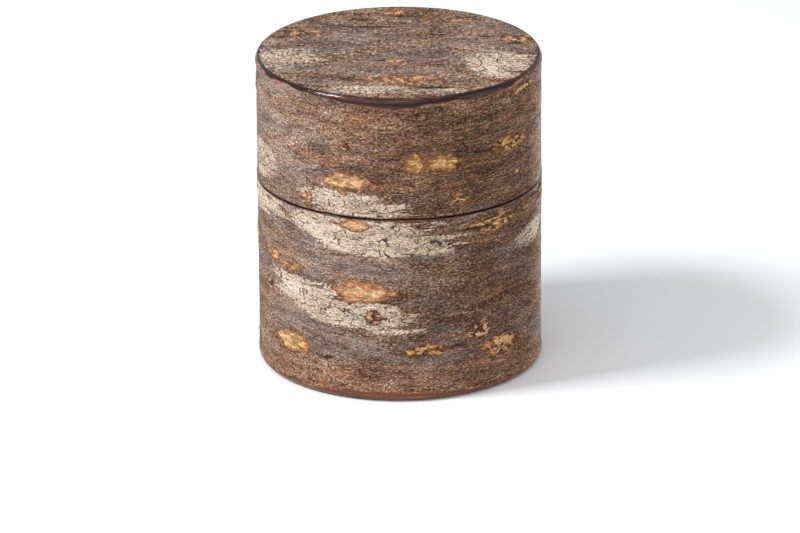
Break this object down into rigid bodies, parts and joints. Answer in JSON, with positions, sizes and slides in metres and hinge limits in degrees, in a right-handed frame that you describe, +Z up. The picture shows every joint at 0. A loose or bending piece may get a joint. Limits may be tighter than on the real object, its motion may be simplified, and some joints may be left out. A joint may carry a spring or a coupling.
{
  "type": "tea caddy",
  "caption": "Cylindrical tea caddy in rough natural cherry bark with polished rounded edges, a deep slide-on lid, an inner sleeve and a knobbed inner lid.",
  "frame": {"origin": "centre of the base's underside, on the axis of the tube", "axes": "+Z up along the tube's axis, -Y towards the front, the wrapped bark's joint at the back on +Y"},
  "size_m": [0.072, 0.072, 0.0805],
  "materials": {
    "rough_bark": "natural rough cherry bark with grey lichened patches, polished red-brown on the rounded edges",
    "polished_bark": "scraped and polished cherry bark, satin",
    "veneer": "thin wood veneer, matt",
    "board": "plain turned board, matt",
    "knob": "laminated cherry bark, turned and polished",
    "dowel": "turned hardwood, matt"
  },
  "bodies": {
    "container": {"base_bark": "rough_bark", "base_board": "board", "floor_bark": "polished_bark", "body_outer_bark": "rough_bark", "body_veneer_tube": "veneer", "body_lining": "polished_bark", "shoulder_ring": "polished_bark", "sleeve_facing": "polished_bark", "sleeve_veneer_tube": "veneer", "sleeve_lining": "polished_bark", "sleeve_rim_ring": "polished_bark"},
    "inner_lid": {"inner_lid_board": "board", "inner_lid_plug": "board", "inner_lid_top_bark": "polished_bark", "inner_lid_underside_bark": "polished_bark", "inner_lid_edge_bark": "polished_bark", "inner_lid_plug_bark": "polished_bark", "knob": "knob", "knob_dowel": "dowel"},
    "lid": {"lid_outer_bark": "rough_bark", "lid_veneer_tube": "veneer", "lid_lining": "polished_bark", "lid_mouth_ring": "polished_bark", "lid_top_board": "board", "lid_top_bark": "rough_bark", "lid_ceiling_bark": "polished_bark"}
  },
  "joints": [
    {"name": "inner_lid_lift", "type": "slide", "parent": "container", "child": "inner_lid", "axis": [0, 0, 1], "range_m": [0, 0.04]},
    {"name": "lid_lift", "type": "slide", "parent": "inner_lid", "child": "lid", "axis": [0, 0, 1], "range_m": [0, 0.05]}
  ]
}
